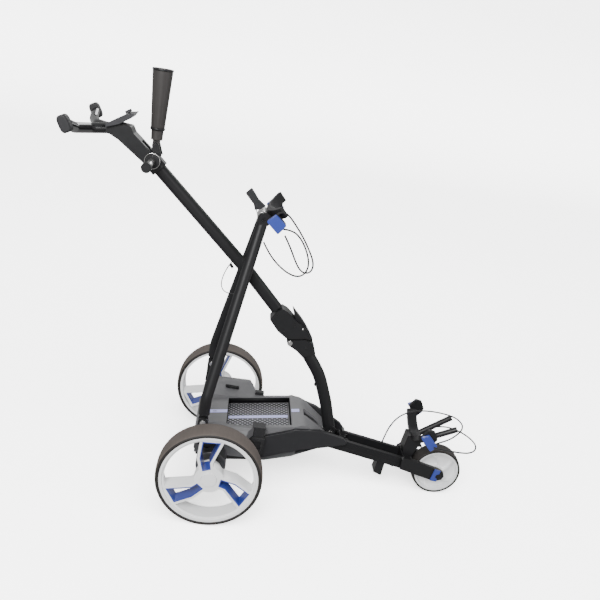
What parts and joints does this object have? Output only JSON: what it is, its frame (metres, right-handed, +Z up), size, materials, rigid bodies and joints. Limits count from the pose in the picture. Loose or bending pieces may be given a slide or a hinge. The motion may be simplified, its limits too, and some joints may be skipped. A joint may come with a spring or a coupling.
{
  "type": "electric golf trolley",
  "caption": "Electric golf trolley with two motor-driven rear wheels, a fork-held front wheel, a battery tray, a folding handle with speed dial, and a folding frame that holds a golf bag",
  "frame": {"origin": "on the ground under the middle of the trolley's length and width", "axes": "+X forwards, towards the single front wheel; +Y to the trolley's left; +Z up"},
  "size_m": [1.2714, 0.6, 1.154],
  "materials": {
    "tyre": "matt dark grey-brown rubber tread",
    "wheel_white": "gloss white moulded plastic",
    "rim_blue": "blue moulded plastic",
    "steel": "bright plated steel",
    "drive_aluminium": "bare cast aluminium",
    "grey_plastic": "fine-textured mid grey plastic",
    "lavender_plastic": "pale lavender plastic",
    "mat_rubber": "dark rubber",
    "circuit_board": "green circuit board",
    "black_plastic": "satin black moulded plastic",
    "gloss_black": "gloss black plastic",
    "black_paint": "satin black paint on aluminium tube",
    "console_grey": "silver-grey plastic",
    "webbing": "black woven webbing",
    "cord_black": "black woven cord"
  },
  "bodies": {
    "root": {"drive_unit_left": "drive_aluminium", "drive_unit_right": "drive_aluminium", "drive_housing": "grey_plastic", "tray_mat": "mat_rubber", "accent_stripe": "lavender_plastic", "control_board": "circuit_board", "lower_skirt": "grey_plastic", "side_beam_left": "black_plastic", "side_beam_right": "black_plastic", "frame_sockets": "black_plastic", "pivot_pins": "steel", "battery_strap": "webbing", "rail_left": "black_paint", "rail_right": "black_paint", "handle_bracket": "black_plastic", "front_fork": "black_plastic", "front_axle": "steel", "axle_clips": "rim_blue", "prop_foot": "black_plastic", "lower_bracket": "black_plastic", "lower_clips": "rim_blue", "lower_cord": "cord_black", "lower_loop": "cord_black"},
    "wheel_left": {"rear_tyre_left": "tyre", "rear_rim_left": "wheel_white", "rim_inserts_left": "rim_blue", "wheel_shaft_left": "steel"},
    "wheel_right": {"rear_tyre_right": "tyre", "rear_rim_right": "wheel_white", "rim_inserts_right": "rim_blue", "wheel_shaft_right": "steel"},
    "button_left": {"hub_button_left": "wheel_white"},
    "button_right": {"hub_button_right": "wheel_white"},
    "front_wheel": {"front_tyre": "tyre", "front_rim": "wheel_white", "front_bearings": "steel"},
    "lower_handle": {"lower_tube": "black_paint", "lower_hinge": "black_plastic", "hinge_bolt": "steel"},
    "upper_handle": {"upper_hinge": "black_plastic", "upper_tube": "black_paint", "handle_yoke": "black_plastic", "handle_arm_left": "gloss_black", "handle_arm_right": "gloss_black", "grip_left": "mat_rubber", "grip_right": "mat_rubber", "console_panel": "console_grey", "accessory_mount": "steel", "display_cable": "cord_black"},
    "lever": {"fold_lever": "black_plastic"},
    "dial": {"speed_dial": "console_grey"},
    "umbrella": {"umbrella_holder": "black_plastic"},
    "catch": {"base_catch": "black_plastic"},
    "bag_frame": {"frame_leg_left": "black_paint", "frame_leg_right": "black_paint", "frame_head": "drive_aluminium", "cradle": "black_plastic", "cradle_clips": "rim_blue", "pull_tab": "mat_rubber", "upper_cord": "cord_black"}
  },
  "joints": [
    {"name": "rear_wheel_left_spin", "type": "hinge", "parent": "root", "child": "wheel_left", "pos_m": [-0.16125, 0.267, 0.145], "axis": [0, 1, 0], "continuous": true},
    {"name": "rear_wheel_right_spin", "type": "hinge", "parent": "root", "child": "wheel_right", "pos_m": [-0.16125, -0.267, 0.145], "axis": [0, 1, 0], "continuous": true},
    {"name": "front_wheel_spin", "type": "hinge", "parent": "root", "child": "front_wheel", "pos_m": [0.55275, 0, 0.0785], "axis": [0, 1, 0], "continuous": true},
    {"name": "hub_button_left_press", "type": "slide", "parent": "wheel_left", "child": "button_left", "axis": [0, -1, 0], "range_m": [0, 0.003], "stiffness_N_per_m": 700, "springref_m": -0.002},
    {"name": "hub_button_right_press", "type": "slide", "parent": "wheel_right", "child": "button_right", "axis": [0, 1, 0], "range_m": [0, 0.003], "stiffness_N_per_m": 700, "springref_m": -0.002},
    {"name": "handle_fold", "type": "hinge", "parent": "root", "child": "lower_handle", "pos_m": [0.18875, 0, 0.178], "axis": [0, 1, 0], "range_deg": [0, 70]},
    {"name": "upper_handle_fold", "type": "hinge", "parent": "lower_handle", "child": "upper_handle", "pos_m": [0.01975, 0, 0.455], "axis": [0, 1, 0], "range_deg": [-112.1, 0]},
    {"name": "bag_frame_fold", "type": "hinge", "parent": "root", "child": "bag_frame", "pos_m": [-0.19825, 0, 0.262], "axis": [0, 1, 0], "range_deg": [0, 44.9]},
    {"name": "fold_lever_lift", "type": "hinge", "parent": "upper_handle", "child": "lever", "pos_m": [0.05075, 0, 0.503], "axis": [0, 1, 0], "range_deg": [0, 24]},
    {"name": "umbrella_tilt", "type": "hinge", "parent": "upper_handle", "child": "umbrella", "pos_m": [-0.41825, 0, 0.962], "axis": [0, 1, 0], "range_deg": [-25, 45]},
    {"name": "speed_dial_turn", "type": "hinge", "parent": "upper_handle", "child": "dial", "pos_m": [-0.49425, 0, 1.0316], "axis": [-0.522, 0, 0.8529], "range_deg": [0, 270]},
    {"name": "base_catch_slide", "type": "slide", "parent": "root", "child": "catch", "axis": [0.9878, 0, -0.156], "range_m": [0, 0.007], "stiffness_N_per_m": 600, "springref_m": -0.003}
  ],
  "couplings": [
    {"joint": "upper_handle_fold", "follows": "handle_fold", "ratio": -1.6},
    {"joint": "bag_frame_fold", "follows": "handle_fold", "ratio": 0.64}
  ]
}
